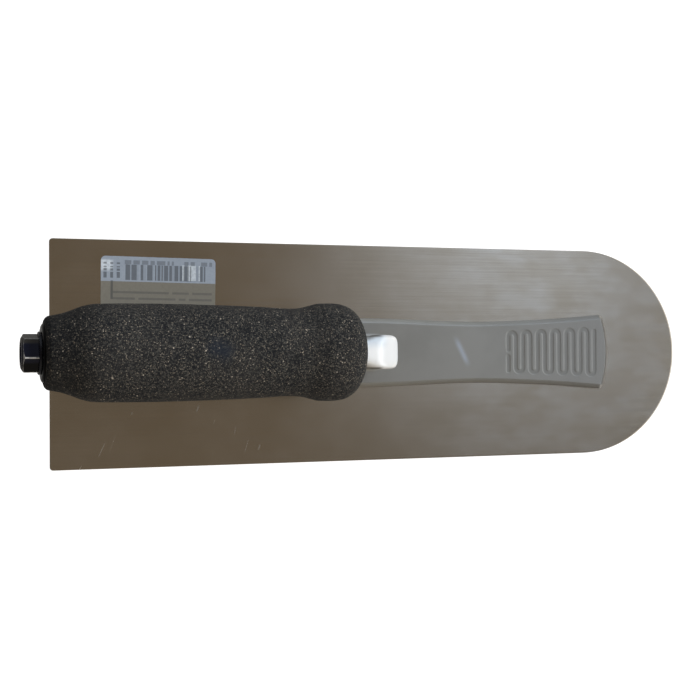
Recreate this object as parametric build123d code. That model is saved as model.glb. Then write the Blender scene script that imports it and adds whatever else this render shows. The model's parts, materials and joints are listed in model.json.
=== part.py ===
"""Steel finishing trowel: blade, cast mounting and through-bolted cork-rubber handle.

Frame: the origin is the centre of the blade's working face, +X points to the
rounded toe, +Y to the labelled side, +Z up from the working face to the handle.
All lengths are in millimetres.
"""
import math
import os

from build123d import *

# ---- blade: 12 x 4 inch sheet with a half-round toe ----
BLADE_LENGTH = 304.8
BLADE_WIDTH = 101.6
BLADE_THICKNESS = 0.7
HEEL_CORNER_RADIUS = 1.5

# ---- mounting: foot plate ----
FOOT_TOP_Z = 6.2
FOOT_FRONT_X = 113.6
FOOT_REAR_X = -133.0
FOOT_END_SAGITTA = 3.2
FOOT_END_HALF_WIDTH = 18.6
FOOT_WAIST_HALF_WIDTH = 14.8
FOOT_CENTRE_HALF_WIDTH = 16.2
FOOT_CORNER_RADIUS = 2.8
FOOT_BEVEL_WIDTH = 2.1
FOOT_BEVEL_DROP = 2.4

# ---- mounting: serpentine groove near each end of the foot ----
GROOVE_RUNS = 13
GROOVE_PITCH = 3.82
GROOVE_WIDTH = 2.25
GROOVE_DEPTH = 0.4
GROOVE_INNER_REACH = 10.5
GROOVE_OUTER_REACH = 12.5
GROOVE_END_MARGIN = 8.4
GROOVE_BREAK = 1.1

# ---- mounting: post and tang ----
POST_BASE_X = -11.0
POST_TOP_X = -12.5
POST_TOP_Z = 40.0
POST_WIDTH = 14.7
POST_DEPTH = 12.6
POST_CORNER_RADIUS = 4.4
# the post's flare: height over the foot's top, shift back, width, depth, corner radius
POST_FLARE = (
    (-1.2, 0.0, 18.4, 18.6, 6.4),
    (0.6, 0.1, 16.4, 15.8, 5.8),
    (3.0, 0.4, 15.0, 13.8, 5.0),
)
POST_MIDDLE = (-11.8, 20.0)
POST_MIDDLE_DEPTH = 13.0
POST_UPPER = (-12.3, 34.0)
BEND_SHARES = (0.28, 0.55, 0.8)
BEND_RADIUS = 8.5
SHOULDER_S = 66.0
SHOULDER_LENGTH = 3.3
NECK_WIDTH = 11.0
NECK_HEIGHT = 10.4
TANG_CORNER_RADIUS = 2.6
# share of the way from the neck to the post's full size, and the corner radius there
SHOULDER_CORNERS = ((1.0, 4.0), (0.5, 3.4), (0.0, TANG_CORNER_RADIUS))

# ---- handle: every distance "s" runs along the handle's axis, forward positive ----
HANDLE_MID_X = -88.0
HANDLE_MID_Z = 60.0
HANDLE_TILT = 9.5
GRIP_REAR_S = -62.5
GRIP_FRONT_S = 63.8
GRIP_FRONT_WALL = 6.5
CORE_RADIUS = 10.0
CORE_FLANGE_RADIUS = 11.0
CORE_FLANGE_THICKNESS = 1.0
CORE_FLANGE_ROUND = 0.4
TANG_END_S = 28.7
SLIP_GAP = 0.05

# ---- M8 stud, nut and washer ----
STUD_RADIUS = 4.0
STUD_CLEARANCE_RADIUS = 4.3
STUD_IN_TANG = 15.0
STUD_END_RECESS = 0.6
STUD_CHAMFER = 0.8
NUT_ACROSS_FLATS = 13.0
NUT_HEIGHT = 6.0
NUT_TURN = -14.0
NUT_CHAMFER = 0.8
WASHER_OUTER_RADIUS = 8.0
WASHER_INNER_RADIUS = 4.2
WASHER_THICKNESS = 1.0

# ---- studs that join the blade to the foot ----
BLADE_STUD_RADIUS = 2.0
BLADE_STUD_HEIGHT = 3.2
BLADE_STUD_COUNT = 8
BLADE_STUD_END_MARGIN = 12.0
BLADE_STUD_GAP = 0.1

# ---- label ----
LABEL_LENGTH = 50.0
LABEL_WIDTH = 23.0
LABEL_THICKNESS = 0.12
LABEL_CORNER_RADIUS = 2.0
LABEL_CENTRE = (-105.8, 31.7)

TILT = math.radians(HANDLE_TILT)
HANDLE = Location(Plane(
    origin=(HANDLE_MID_X, 0, HANDLE_MID_Z),
    x_dir=(math.cos(TILT), 0, -math.sin(TILT)),
    z_dir=(math.sin(TILT), 0, math.cos(TILT)),
))
FLANGE_REAR_S = GRIP_REAR_S - CORE_FLANGE_THICKNESS
WASHER_REAR_S = FLANGE_REAR_S - WASHER_THICKNESS
NUT_REAR_S = WASHER_REAR_S - NUT_HEIGHT


def cylinder_along(start_s, end_s, radius):
    """A round bar on the handle's axis, before the handle is tilted into place."""
    bar = extrude(Plane.YZ * Circle(radius), end_s - start_s)
    return Pos(start_s, 0, 0) * bar


def rounded_bar_along(start_s, end_s, width, height, corner):
    """A bar of rounded rectangular section on the handle's axis."""
    bar = extrude(Plane.YZ * RectangleRounded(width, height, corner), end_s - start_s)
    return Pos(start_s, 0, 0) * bar


def make_blade():
    """Flat sheet: square heel with small corner radii, half-round toe."""
    half_length = BLADE_LENGTH / 2
    half_width = BLADE_WIDTH / 2
    toe_centre_x = half_length - half_width
    straight = toe_centre_x + half_length
    outline = Pos((toe_centre_x - half_length) / 2, 0) * Rectangle(straight, BLADE_WIDTH)
    outline = fillet(outline.vertices().group_by(Axis.X)[0], HEEL_CORNER_RADIUS)
    outline = outline + Pos(toe_centre_x, 0) * Circle(half_width)
    return extrude(outline, BLADE_THICKNESS)


def foot_side(end_x, side):
    """One long edge of the foot, from the post to an end, as a spline through the waist."""
    waist_x = (POST_BASE_X + end_x) * 0.42
    quarter_x = (waist_x + end_x) / 2
    quarter_half = FOOT_WAIST_HALF_WIDTH + (FOOT_END_HALF_WIDTH - FOOT_WAIST_HALF_WIDTH) * 0.3
    return [
        (waist_x, side * FOOT_WAIST_HALF_WIDTH),
        (quarter_x, side * quarter_half),
        (end_x, side * FOOT_END_HALF_WIDTH),
    ]


def foot_outline():
    """Plan of the foot: two mirrored hourglass arms that meet at the post."""
    front_corner_x = FOOT_FRONT_X - FOOT_END_SAGITTA
    rear_corner_x = FOOT_REAR_X + FOOT_END_SAGITTA
    front = foot_side(front_corner_x, 1)
    rear = foot_side(rear_corner_x, 1)
    centre = (POST_BASE_X, FOOT_CENTRE_HALF_WIDTH)
    upper = Spline(*rear[::-1], centre, *front)
    lower = upper.mirror(Plane.XZ)
    front_end = ThreePointArc(
        (front_corner_x, FOOT_END_HALF_WIDTH), (FOOT_FRONT_X, 0), (front_corner_x, -FOOT_END_HALF_WIDTH)
    )
    rear_end = ThreePointArc(
        (rear_corner_x, FOOT_END_HALF_WIDTH), (FOOT_REAR_X, 0), (rear_corner_x, -FOOT_END_HALF_WIDTH)
    )
    return make_face([upper, front_end, lower, rear_end])


def half_ring(centre_x, level, side):
    """Half of a ring that joins two groove runs, opening towards the foot's middle."""
    outer = (GROOVE_PITCH + GROOVE_WIDTH) / 2
    inner = (GROOVE_PITCH - GROOVE_WIDTH) / 2
    window = Pos(0, side * outer / 2) * Rectangle(2 * outer, outer)
    return Pos(centre_x, level) * ((Circle(outer) - Circle(inner)) & window)


def groove_plan():
    """Plan of the serpentine, with run 1 at x = 0 and the runs stepping along +X."""
    ring_reach = (GROOVE_PITCH + GROOVE_WIDTH) / 2
    reach_step = (GROOVE_OUTER_REACH - GROOVE_INNER_REACH) / (GROOVE_RUNS - 1)
    tops = []
    bottoms = []
    plan = None
    for run in range(GROOVE_RUNS):
        pair_top = run - run % 2
        pair_bottom = run - (run + 1) % 2
        tops.append(GROOVE_INNER_REACH + reach_step * (pair_top + 0.5) - ring_reach)
        bottoms.append(-(GROOVE_INNER_REACH + reach_step * (pair_bottom + 0.5) - ring_reach))
    for run in range(GROOVE_RUNS):
        run_x = run * GROOVE_PITCH
        low = bottoms[run]
        high = tops[run]
        if run == 0:
            stub_high = -GROOVE_BREAK
            stub_low = low - ring_reach / 2
            stub = Pos(run_x, (stub_low + stub_high) / 2) * Rectangle(GROOVE_WIDTH, stub_high - stub_low)
            plan = stub + Pos(run_x, stub_low) * Circle(GROOVE_WIDTH / 2)
            low = 0.0
        if run == GROOVE_RUNS - 1:
            high = high + ring_reach / 2
            plan = plan + Pos(run_x, high) * Circle(GROOVE_WIDTH / 2)
        plan = plan + Pos(run_x, (low + high) / 2) * Rectangle(GROOVE_WIDTH, high - low)
    for run in range(GROOVE_RUNS - 1):
        side = 1 if run % 2 == 0 else -1
        level = tops[run] if side > 0 else bottoms[run]
        plan = plan + half_ring((run + 0.5) * GROOVE_PITCH, level, side)
    return plan


def post_section(x, z, lean, width, depth, corner):
    """One section of the post; lean 0 is level, 90 faces back along -X."""
    angle = math.radians(lean)
    plane = Plane(
        origin=(x, 0, z),
        x_dir=(math.cos(angle), 0, math.sin(angle)),
        z_dir=(-math.sin(angle), 0, math.cos(angle)),
    )
    return plane * RectangleRounded(depth, width, corner)


def make_post():
    """Post that rises from the foot, bends back and becomes the neck of the handle."""
    end_lean = 90 - HANDLE_TILT
    lean_low = math.degrees(math.atan2(POST_BASE_X - POST_TOP_X, POST_TOP_Z - FOOT_TOP_Z))
    sections = []
    for rise, back, width, depth, corner in POST_FLARE:
        sections.append(post_section(POST_BASE_X - back, FOOT_TOP_Z + rise, 0, width, depth, corner))
    for (x, z), depth in ((POST_MIDDLE, POST_MIDDLE_DEPTH), (POST_UPPER, POST_DEPTH)):
        sections.append(post_section(x, z, lean_low, POST_WIDTH, depth, POST_CORNER_RADIUS))
    bend_centre_x = POST_TOP_X - BEND_RADIUS
    bend_end_x = bend_centre_x + BEND_RADIUS * math.sin(TILT)
    bend_end_z = HANDLE_MID_Z - (bend_end_x - HANDLE_MID_X) * math.tan(TILT)
    bend_centre_z = bend_end_z - BEND_RADIUS * math.cos(TILT)
    for share in BEND_SHARES:
        lean = end_lean * share
        angle = math.radians(lean)
        sections.append(post_section(
            bend_centre_x + BEND_RADIUS * math.cos(angle),
            bend_centre_z + BEND_RADIUS * math.sin(angle),
            lean, POST_WIDTH, POST_DEPTH, POST_CORNER_RADIUS,
        ))
    for share, corner in SHOULDER_CORNERS:
        spot = (HANDLE * Pos(SHOULDER_S + SHOULDER_LENGTH * share, 0, 0)).position
        fullness = math.sin(share * math.pi / 2)
        sections.append(post_section(
            spot.X, spot.Z, end_lean,
            NECK_WIDTH + (POST_WIDTH - NECK_WIDTH) * fullness,
            NECK_HEIGHT + (POST_DEPTH - NECK_HEIGHT) * fullness,
            corner,
        ))
    return loft(sections)


def make_mounting():
    """One aluminium casting: foot with two arms, post, neck and tang."""
    foot = Pos(0, 0, BLADE_THICKNESS) * extrude(foot_outline(), FOOT_TOP_Z - BLADE_THICKNESS)
    corners = foot.edges().filter_by(Axis.Z)
    foot = fillet(corners, FOOT_CORNER_RADIUS)
    top_edges = foot.faces().sort_by(Axis.Z)[-1].edges()
    foot = chamfer(top_edges, FOOT_BEVEL_DROP, FOOT_BEVEL_WIDTH)
    plan_length = (GROOVE_RUNS - 1) * GROOVE_PITCH
    groove = extrude(groove_plan(), GROOVE_DEPTH)
    first_front_x = FOOT_FRONT_X - GROOVE_END_MARGIN - plan_length
    first_rear_x = FOOT_REAR_X + GROOVE_END_MARGIN + plan_length
    groove_z = FOOT_TOP_Z - GROOVE_DEPTH
    foot = foot - Pos(first_front_x, 0, groove_z) * groove
    foot = foot - Pos(first_rear_x, 0, groove_z) * Rot(0, 0, 180) * groove
    for stud_x in blade_stud_positions():
        hole = extrude(Circle(BLADE_STUD_RADIUS + BLADE_STUD_GAP), BLADE_STUD_HEIGHT + BLADE_STUD_GAP)
        foot = foot - Pos(stud_x, 0, BLADE_THICKNESS) * hole
    tang = rounded_bar_along(
        TANG_END_S, SHOULDER_S, NECK_WIDTH, NECK_HEIGHT, TANG_CORNER_RADIUS
    )
    tang_hole = cylinder_along(TANG_END_S, TANG_END_S + STUD_IN_TANG + 1.0, STUD_RADIUS + SLIP_GAP)
    return foot + make_post() + HANDLE * tang - HANDLE * tang_hole


def blade_stud_positions():
    """Even spacing along the foot's centre line."""
    first = FOOT_REAR_X + BLADE_STUD_END_MARGIN
    last = FOOT_FRONT_X - BLADE_STUD_END_MARGIN
    step = (last - first) / (BLADE_STUD_COUNT - 1)
    return [first + step * index for index in range(BLADE_STUD_COUNT)]


def make_blade_studs():
    """Steel studs fixed to the blade's back, sitting in blind holes under the foot."""
    stud = Pos(0, 0, BLADE_THICKNESS) * extrude(Circle(BLADE_STUD_RADIUS), BLADE_STUD_HEIGHT)
    return Compound([Pos(stud_x, 0, 0) * stud for stud_x in blade_stud_positions()])


def make_core():
    """Rigid tube with a rear flange; its front pocket takes the tang."""
    front_s = GRIP_FRONT_S - GRIP_FRONT_WALL
    tube = cylinder_along(GRIP_REAR_S, front_s, CORE_RADIUS)
    flange = cylinder_along(FLANGE_REAR_S, GRIP_REAR_S, CORE_FLANGE_RADIUS)
    rear_rim = flange.edges().group_by(Axis.X)[0]
    flange = fillet(rear_rim, CORE_FLANGE_ROUND)
    pocket = rounded_bar_along(
        TANG_END_S, front_s, NECK_WIDTH + 2 * SLIP_GAP, NECK_HEIGHT + 2 * SLIP_GAP,
        TANG_CORNER_RADIUS + SLIP_GAP,
    )
    bore = cylinder_along(FLANGE_REAR_S, TANG_END_S, STUD_CLEARANCE_RADIUS)
    return HANDLE * (tube + flange - pocket - bore)


def make_grip():
    """Moulded sleeve: narrow rear collar, full palm, slight waist and front bulb."""
    rear_round = ThreePointArc((GRIP_REAR_S, 11.6), (-61.8, 13.3), (-60.1, 14.0))
    body = Spline(
        (-60.1, 14.0), (-56.5, 14.75), (-53.0, 15.95), (-48.8, 17.65), (-44.6, 18.55),
        (-38.5, 18.8), (-20.0, 19.05), (2.0, 18.85), (21.0, 18.4), (30.5, 17.95),
        (34.5, 18.0), (38.0, 18.4), (41.5, 19.3), (45.5, 20.2), (49.5, 20.35),
        tangents=[(1, 0), (1, 0)],
    )
    front_round = Spline(
        (49.5, 20.35), (54.6, 19.8), (58.4, 18.1), (61.0, 15.5), (62.6, 12.5), (63.4, 9.0),
        tangents=[(1, 0), (0.12, -1)],
    )
    close = Polyline(
        (63.4, 9.0), (GRIP_FRONT_S, 6.4), (GRIP_FRONT_S, 0), (GRIP_REAR_S, 0), (GRIP_REAR_S, 11.6)
    )
    profile = make_face([rear_round, body, front_round, close])
    solid = revolve(profile, Axis.X, 360)
    bore = cylinder_along(GRIP_REAR_S, GRIP_FRONT_S - GRIP_FRONT_WALL, CORE_RADIUS + SLIP_GAP)
    mouth = rounded_bar_along(
        GRIP_REAR_S, GRIP_FRONT_S, NECK_WIDTH + 4 * SLIP_GAP, NECK_HEIGHT + 4 * SLIP_GAP,
        TANG_CORNER_RADIUS + 2 * SLIP_GAP,
    )
    return HANDLE * (solid - bore - mouth)


def make_handle_stud():
    """Threaded stud from the tang to the nut, drawn at its nominal diameter."""
    stud = cylinder_along(NUT_REAR_S + STUD_END_RECESS, TANG_END_S + STUD_IN_TANG, STUD_RADIUS)
    stud = chamfer(stud.edges(), STUD_CHAMFER)
    return HANDLE * stud


def make_handle_nut():
    """M8 hexagon nut with its outer corners chamfered."""
    corner_radius = NUT_ACROSS_FLATS / 2 / math.cos(math.pi / 6)
    hexagon = Plane.YZ * Rot(0, 0, 90 - NUT_TURN) * RegularPolygon(corner_radius, 6)
    blank = Pos(NUT_REAR_S, 0, 0) * extrude(hexagon, NUT_HEIGHT)
    round_bar = cylinder_along(NUT_REAR_S, WASHER_REAR_S, corner_radius)
    round_bar = chamfer(round_bar.edges().group_by(Axis.X)[0], NUT_CHAMFER)
    nut = blank & round_bar
    hole = cylinder_along(NUT_REAR_S, WASHER_REAR_S, STUD_RADIUS + SLIP_GAP)
    return HANDLE * (nut - hole)


def make_handle_washer():
    """Plain M8 washer between the nut and the core's flange."""
    disc = cylinder_along(WASHER_REAR_S, FLANGE_REAR_S, WASHER_OUTER_RADIUS)
    hole = cylinder_along(WASHER_REAR_S, FLANGE_REAR_S, WASHER_INNER_RADIUS)
    return HANDLE * (disc - hole)


def make_label():
    """Thin paper sticker on the blade, beside the handle."""
    sheet = extrude(RectangleRounded(LABEL_LENGTH, LABEL_WIDTH, LABEL_CORNER_RADIUS), LABEL_THICKNESS)
    return Pos(*LABEL_CENTRE, BLADE_THICKNESS) * sheet


PARTS = {
    "blade": make_blade,
    "blade_studs": make_blade_studs,
    "mounting": make_mounting,
    "handle_core": make_core,
    "grip": make_grip,
    "handle_stud": make_handle_stud,
    "handle_nut": make_handle_nut,
    "handle_washer": make_handle_washer,
    "label": make_label,
}

os.makedirs("parts", exist_ok=True)
for name, make in PARTS.items():
    export_step(make(), f"parts/{name}.step")
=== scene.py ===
import json
import math

import bpy
from mathutils import Matrix, Vector, geometry, noise


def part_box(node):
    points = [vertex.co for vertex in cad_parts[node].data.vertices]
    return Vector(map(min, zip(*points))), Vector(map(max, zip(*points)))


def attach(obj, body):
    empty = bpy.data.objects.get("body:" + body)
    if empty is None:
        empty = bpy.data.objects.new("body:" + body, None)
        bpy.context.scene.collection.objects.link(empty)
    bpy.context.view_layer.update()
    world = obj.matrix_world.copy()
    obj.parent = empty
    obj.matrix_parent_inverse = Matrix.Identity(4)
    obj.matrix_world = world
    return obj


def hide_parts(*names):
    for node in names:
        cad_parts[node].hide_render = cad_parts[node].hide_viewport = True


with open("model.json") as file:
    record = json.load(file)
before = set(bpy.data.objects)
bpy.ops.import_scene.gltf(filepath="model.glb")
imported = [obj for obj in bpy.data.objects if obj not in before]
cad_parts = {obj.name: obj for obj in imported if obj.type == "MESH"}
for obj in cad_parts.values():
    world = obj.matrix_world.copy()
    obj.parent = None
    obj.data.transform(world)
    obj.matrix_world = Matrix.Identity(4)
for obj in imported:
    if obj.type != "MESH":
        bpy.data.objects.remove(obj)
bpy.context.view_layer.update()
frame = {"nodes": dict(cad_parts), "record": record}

MM = 0.001
BODY = "root"

# ---- measures taken from the frame, in millimetres ----


def box_mm(node):
    """Lowest and highest corner of a CAD node, in millimetres."""
    low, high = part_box(node)
    return low / MM, high / MM


BLADE_LOW, BLADE_HIGH = box_mm("blade")
FOOT_LOW, FOOT_HIGH = box_mm("mounting")
LABEL_LOW, LABEL_HIGH = box_mm("label")
GRIP_MOUNT = next(m for m in frame["record"]["mounts"] if m["name"] == "hand_grip")
HANDLE_TILT = math.radians(9.5)
HANDLE_MIDDLE = Vector(GRIP_MOUNT["pos_m"]) / MM
HANDLE_PLACE = Matrix.Translation(HANDLE_MIDDLE) @ Matrix.Rotation(HANDLE_TILT, 4, "Y")

# ---- handle stations along its axis, from the handle's middle, forward positive ----
GRIP_REAR = -62.5
GRIP_FRONT = 63.8
FLANGE_REAR = GRIP_REAR - 1.0
WASHER_REAR = FLANGE_REAR - 1.0
NUT_REAR = WASHER_REAR - 6.0
TANG_END = 28.7
STUD_FRONT = TANG_END + 15.0
STUD_REAR = NUT_REAR + 0.6
CORE_FRONT = GRIP_FRONT - 6.5

# ---- handle radii ----
CORE_RADIUS = 10.0
CORE_HOLE = 4.3
CORE_SOCKET = 7.8
FLANGE_RADIUS = 11.0
FLANGE_FLAT = 9.3
WASHER_RADIUS = 8.0
WASHER_HOLE = 4.2
STUD_RADIUS = 4.0
THREAD_PITCH = 1.25

# ---- nut: half its width across flats, and the flat ring inside its chamfer ----
NUT_APOTHEM = 6.5
NUT_FACE = 5.6
NUT_CORNER = 0.45
NUT_TURN = math.radians(-14)
CHAMFER_SLOPE = math.tan(math.radians(30))

# ---- blade and sticker, which sits a little crooked ----
HEEL_CORNER = 1.5
LABEL_CORNER = 2.0
LABEL_TURN = math.radians(-0.8)

# ---- foot ----
FOOT_TOP = 6.2
FOOT_SAGITTA = 3.2
FOOT_END_HALF = 18.6
FOOT_WAIST_HALF = 14.8
FOOT_CENTRE_HALF = 16.2
FOOT_CORNER = 2.8
BEVEL_WIDTH = 2.1
BEVEL_DROP = 2.4

# ---- post and neck ----
POST_BASE_X = -11.0
POST_BASE_WIDTH = 14.9
POST_BASE_DEPTH = 14.6
POST_FLARE = 1.7
POST_SET_BACK = 0.4
POST_TOP_X = -12.5
POST_WIDTH = 14.7
POST_DEPTH = 12.6
BEND_RADIUS = 8.5
SHOULDER_S = 66.0
SHOULDER_LENGTH = 3.3
NECK_TAPER = 5.4
NECK_WIDTH = 11.0
NECK_HEIGHT = 10.4

# ---- serpentine groove, shallow, with soft walls ----
GROOVE_RUNS = 13
GROOVE_PITCH = 3.82
GROOVE_WIDTH = 2.25
GROOVE_DEPTH = 0.08
GROOVE_LIP = 0.3
GROOVE_ROOT = 0.5
GROOVE_REACHES = (10.5, 12.5)
GROOVE_MARGIN = 8.4
GROOVE_BREAK = 1.1

# narrow flat rim round each opening of the foot's top, so that the flat shades flat
FLAT_RIM = 0.15


# =====================================================================================
# mesh helpers: everything is drawn in millimetres and stored in metres
# =====================================================================================


def new_piece(name, points, faces, place=None, sharp_degrees=32.0):
    """A mesh piece from points in millimetres, riding on the tool's one body."""
    place = place or Matrix.Identity(4)
    mesh = bpy.data.meshes.new(name)
    mesh.from_pydata([tuple((place @ Vector(p)) * MM) for p in points], [], faces)
    mesh.validate()
    mesh.polygons.foreach_set("use_smooth", [True] * len(mesh.polygons))
    mesh.set_sharp_from_angle(angle=math.radians(sharp_degrees))
    mesh.update()
    piece = bpy.data.objects.new(name, mesh)
    bpy.context.scene.collection.objects.link(piece)
    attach(piece, BODY)
    return piece


def finish_piece(piece, node, material):
    """The piece stands for a CAD node and gets its finish."""
    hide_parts(node)
    piece.data.materials.append(material)
    return piece


def bridge(faces, first, second, count):
    """Quads between two closed rings of equal length, given by their first indices."""
    for i in range(count):
        j = (i + 1) % count
        faces.append((first + i, first + j, second + j, second + i))


def stack_rings(rings, close_ends=(False, False), loop=False):
    """Points and faces of a skin over rings of equal length."""
    count = len(rings[0])
    points = [p for ring in rings for p in ring]
    faces = []
    for k in range(len(rings) - 1):
        bridge(faces, k * count, (k + 1) * count, count)
    if loop:
        bridge(faces, (len(rings) - 1) * count, 0, count)
    if close_ends[0]:
        faces.append(tuple(range(count))[::-1])
    if close_ends[1]:
        start = (len(rings) - 1) * count
        faces.append(tuple(range(start, start + count)))
    return points, faces


def circle_ring(s, radius, steps):
    """Ring round the handle's axis at station s."""
    ring = []
    for i in range(steps):
        angle = 2 * math.pi * i / steps
        ring.append((s, radius * math.cos(angle), radius * math.sin(angle)))
    return ring


def arc_points(centre, radius, start, end, steps):
    """Points on an arc in the plane of (s, r), angles in degrees."""
    points = []
    for i in range(steps + 1):
        angle = math.radians(start + (end - start) * i / steps)
        points.append((centre[0] + radius * math.cos(angle), centre[1] + radius * math.sin(angle)))
    return points


def smooth_curve(points, steps):
    """Cubic curve through points (x increasing), with slopes that never overshoot."""
    count = len(points)
    slopes = []
    for i in range(count - 1):
        run = points[i + 1][0] - points[i][0]
        slopes.append((points[i + 1][1] - points[i][1]) / run)
    tangents = [slopes[0]]
    for i in range(1, count - 1):
        same_way = slopes[i - 1] * slopes[i] > 0
        tangents.append(2 * slopes[i - 1] * slopes[i] / (slopes[i - 1] + slopes[i]) if same_way else 0.0)
    tangents.append(slopes[-1])
    curve = []
    for i in range(count - 1):
        run = points[i + 1][0] - points[i][0]
        for k in range(steps):
            t = k / steps
            h00 = 2 * t ** 3 - 3 * t ** 2 + 1
            h10 = t ** 3 - 2 * t ** 2 + t
            h01 = 3 * t ** 2 - 2 * t ** 3
            h11 = t ** 3 - t ** 2
            y = h00 * points[i][1] + h10 * run * tangents[i]
            y += h01 * points[i + 1][1] + h11 * run * tangents[i + 1]
            curve.append((points[i][0] + run * t, y))
    curve.append(points[-1])
    return curve


def superellipse(half_a, half_b, power, steps):
    """Closed oval loop between an ellipse (power 2) and a rectangle (high power)."""
    loop = []
    for i in range(steps):
        angle = 2 * math.pi * i / steps
        c, s = math.cos(angle), math.sin(angle)
        a = math.copysign(abs(c) ** (2 / power), c) * half_a
        b = math.copysign(abs(s) ** (2 / power), s) * half_b
        loop.append((a, b))
    return loop


def round_corners(path, radius, steps):
    """Replaces each sharp corner of a closed path by an arc of the given radius."""
    points = [Vector(p) for p in path]
    count = len(points)
    corners = {}
    for i in range(count):
        before = (points[i] - points[i - 1]).normalized()
        after = (points[(i + 1) % count] - points[i]).normalized()
        turn = before.angle(after)
        if turn > math.radians(30):
            corners[i] = (before, after, turn, radius * math.tan(turn / 2))
    result = []
    for i in range(count):
        if i in corners:
            before, after, turn, reach = corners[i]
            side = Vector((-before.y, before.x))
            if side.dot(after) < 0:
                side = -side
            centre = points[i] - before * reach + side * radius
            for k in range(steps + 1):
                a = turn * k / steps
                result.append(centre + (-side * math.cos(a) + before * math.sin(a)) * radius)
            continue
        near = any((points[i] - points[k]).length < c[3] * 1.02 for k, c in corners.items())
        if not near:
            result.append(points[i])
    return result


def inset_loop(loop, distance):
    """Moves a closed anticlockwise loop inwards by a distance."""
    count = len(loop)
    moved = []
    for i in range(count):
        before = (loop[i] - loop[i - 1]).normalized()
        after = (loop[(i + 1) % count] - loop[i]).normalized()
        normal = Vector((-(before.y + after.y), before.x + after.x)).normalized()
        stretch = 1 / max(0.5, normal.dot(Vector((-before.y, before.x))))
        moved.append(loop[i] + normal * distance * stretch)
    return moved


def inside(point, loop):
    """True where a point lies within a closed loop."""
    hit = False
    x, y = point[0], point[1]
    for i in range(len(loop)):
        x1, y1 = loop[i - 1][0], loop[i - 1][1]
        x2, y2 = loop[i][0], loop[i][1]
        if (y1 > y) != (y2 > y) and x < (x2 - x1) * (y - y1) / (y2 - y1) + x1:
            hit = not hit
    return hit


def fill_between(outer, holes):
    """Triangles of the flat area inside outer and outside every hole."""
    points = []
    edges = []
    for loop in [outer] + holes:
        start = len(points)
        points.extend(Vector((p[0], p[1])) for p in loop)
        edges.extend((start + i, start + (i + 1) % len(loop)) for i in range(len(loop)))
    done = geometry.delaunay_2d_cdt(points, edges, [], 0, 1e-6)
    out_points, out_faces, origins = done[0], done[2], done[3]
    index = {}
    for k, sources in enumerate(origins):
        if sources:
            index[k] = sources[0]
    kept = []
    for face in out_faces:
        middle = sum((out_points[k] for k in face), Vector((0, 0))) / len(face)
        if inside(middle, outer) and not any(inside(middle, hole) for hole in holes):
            kept.append(tuple(index[k] for k in face))
    return kept


# =====================================================================================
# node-tree helpers
# =====================================================================================


class Tree:
    """Shorthand for one node tree: put() adds a node, sets its values and links its inputs."""

    def __init__(self, tree):
        self.tree = tree

    def put(self, kind, settings=None, inputs=None):
        node = self.tree.nodes.new(kind)
        for key, value in (settings or {}).items():
            setattr(node, key, value)
        for key, value in (inputs or {}).items():
            if isinstance(value, bpy.types.NodeSocket):
                self.tree.links.new(value, node.inputs[key])
            else:
                node.inputs[key].default_value = value
        return node

    def math(self, operation, a, b=0.0):
        return self.put("ShaderNodeMath", {"operation": operation}, {0: a, 1: b}).outputs[0]

    def product(self, first, *others):
        for value in others:
            first = self.math("MULTIPLY", first, value)
        return first

    def most(self, first, *others):
        for value in others:
            first = self.math("MAXIMUM", first, value)
        return first

    def ramp(self, value, low, high, to_low=0.0, to_high=1.0):
        """Smooth step of a value from low..high to to_low..to_high."""
        settings = {"interpolation_type": "SMOOTHSTEP"}
        inputs = {0: value, 1: low, 2: high, 3: to_low, 4: to_high}
        return self.put("ShaderNodeMapRange", settings, inputs).outputs[0]

    def mix(self, factor, a, b, blend="MIX"):
        node = self.put("ShaderNodeMix", {"data_type": "RGBA", "blend_type": blend})
        for socket, value in ((node.inputs[0], factor), (node.inputs[6], a), (node.inputs[7], b)):
            if isinstance(value, bpy.types.NodeSocket):
                self.tree.links.new(value, socket)
            else:
                socket.default_value = value
        return node.outputs[2]

    def place(self):
        """Position in the tool's own frame, in metres."""
        return self.put("ShaderNodeTexCoord").outputs["Object"]

    def parts(self, vector):
        """The x, y and z of a vector."""
        return self.put("ShaderNodeSeparateXYZ", None, {0: vector}).outputs

    def scaled(self, vector, scale):
        settings = {"operation": "MULTIPLY"}
        return self.put("ShaderNodeVectorMath", settings, {0: vector, 1: scale}).outputs[0]

    def noise(self, vector, scale, detail=2.0, roughness=0.5):
        inputs = {"Vector": vector, "Scale": scale, "Detail": detail, "Roughness": roughness}
        return self.put("ShaderNodeTexNoise", None, inputs).outputs[0]

    def bump(self, height, distance, strength=1.0):
        inputs = {"Height": height, "Distance": distance, "Strength": strength}
        return self.put("ShaderNodeBump", None, inputs).outputs[0]


def new_group(name, inputs, outputs):
    """An empty shader node group with named inputs and outputs."""
    group = bpy.data.node_groups.new(name, "ShaderNodeTree")
    for label, (kind, value) in inputs.items():
        socket = group.interface.new_socket(name=label, in_out="INPUT", socket_type=kind)
        socket.default_value = value
    for label, kind in outputs.items():
        group.interface.new_socket(name=label, in_out="OUTPUT", socket_type=kind)
    tree = Tree(group)
    return group, tree, tree.put("NodeGroupInput").outputs, tree.put("NodeGroupOutput").inputs


def use_group(tree, group, inputs):
    """Places a group in a material with that material's own values."""
    return tree.put("ShaderNodeGroup", {"node_tree": group}, inputs).outputs


def new_material(name, values):
    """A material with one Principled BSDF whose constant values are set on its sockets."""
    material = bpy.data.materials.new(name)
    material.use_nodes = True
    tree = Tree(material.node_tree)
    shader = material.node_tree.nodes["Principled BSDF"]
    for key, value in values.items():
        shader.inputs[key].default_value = value
    return material, tree, shader


def feed(tree, shader, **links):
    """Links values to the shader's sockets; underscores in names stand for spaces."""
    for key, value in links.items():
        tree.tree.links.new(value, shader.inputs[key.replace("_", " ")])


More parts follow.
